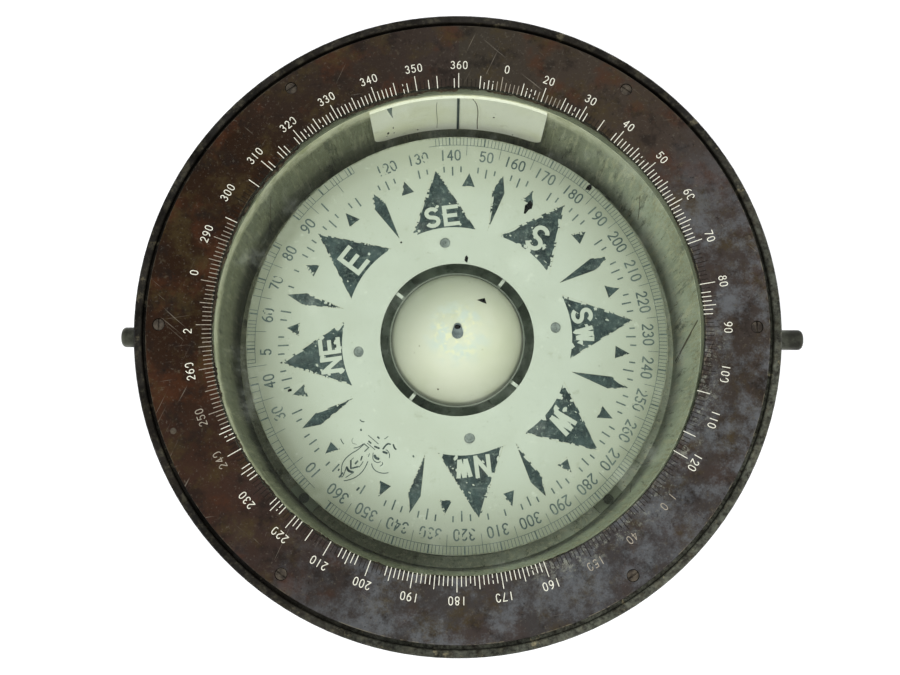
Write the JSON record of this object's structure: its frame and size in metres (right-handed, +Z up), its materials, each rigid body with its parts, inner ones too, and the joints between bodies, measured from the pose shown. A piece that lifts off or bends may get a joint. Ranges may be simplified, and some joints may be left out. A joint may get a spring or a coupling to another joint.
{
  "type": "ship compass",
  "caption": "Liquid-bowl ship compass: flanged bowl on trunnion pins, engraved bezel ring over glass, and a floating card that turns on a jewelled pivot.",
  "frame": {"origin": "centre of the bottom cover's flat rest face", "axes": "+Z up out of the glass, +X along the right trunnion pin, +Y towards the lubber line"},
  "size_m": [0.339, 0.301, 0.128],
  "materials": {
    "bowl_bronze": "worn dark bronze paint",
    "pin_steel": "dull",
    "gasket_rubber": "aged cream rubber",
    "clear_glass": "clear, lightly soiled",
    "bezel_paint": "chocolate bronze finish with white-filled engraving",
    "bezel_screw": "dark",
    "wall_enamel": "satin",
    "black_line": "matte",
    "brass": "satin",
    "washer_fibre": "matte",
    "card_paint": "pale matte paint with slate markings",
    "rivet_metal": "dull",
    "float_enamel": "cream enamel, slight gloss",
    "magnet_steel": "satin",
    "jewel_stone": "polished",
    "inner_bronze": "dull olive",
    "gasket_black": "matte",
    "diaphragm_brass": "dull",
    "lead": "dull grey"
  },
  "bodies": {
    "bowl": {"bowl": "bowl_bronze", "trunnion_pin_right": "pin_steel", "trunnion_pin_left": "pin_steel", "lower_gasket": "gasket_rubber", "top_glass": "clear_glass", "upper_gasket": "gasket_rubber", "bezel_ring": "bezel_paint", "bezel_screws": "bezel_screw", "bezel_dowels": "bezel_screw", "lubber_plate": "wall_enamel", "lubber_line": "black_line", "filler_plug": "brass", "filler_washer": "washer_fibre", "pivot_pin": "pin_steel", "pivot_stem": "brass", "stem_nut": "brass", "pivot_bridge": "inner_bronze", "bridge_screws": "brass", "diaphragm_gasket": "gasket_black", "diaphragm": "diaphragm_brass", "clamp_ring": "bowl_bronze", "clamp_screws": "brass", "bottom_cover": "bowl_bronze", "cover_screws": "brass", "lead_weight": "lead", "weight_screws": "brass"},
    "jewel_cup": {"jewel": "jewel_stone"},
    "bearing_thimble": {"jewel_holder": "brass"},
    "card": {"card_disc": "card_paint", "card_frame": "card_paint", "card_rivets": "rivet_metal", "float_dome": "float_enamel", "float_stud": "rivet_metal", "float_pan": "float_enamel", "magnet_carrier": "brass", "magnets": "magnet_steel", "magnet_straps": "brass", "strap_screws": "brass"},
    "diaphragm_centre": {"diaphragm_plate": "brass"}
  },
  "joints": [
    {"name": "card_pitch", "type": "hinge", "parent": "bowl", "child": "jewel_cup", "pos_m": [0, 0, 0.088], "axis": [1, 0, 0], "range_deg": [-7, 7]},
    {"name": "card_roll", "type": "hinge", "parent": "jewel_cup", "child": "bearing_thimble", "pos_m": [0, 0, 0.088], "axis": [0, 1, 0], "range_deg": [-7, 7]},
    {"name": "card_turn", "type": "hinge", "parent": "bearing_thimble", "child": "card", "pos_m": [0, 0, 0.088], "axis": [0, 0, 1], "continuous": true},
    {"name": "diaphragm_breathe", "type": "slide", "parent": "bowl", "child": "diaphragm_centre", "axis": [0, 0, 1], "range_m": [-0.0015, 0.0015], "stiffness_N_per_m": 3000, "deforming": ["diaphragm"]}
  ]
}
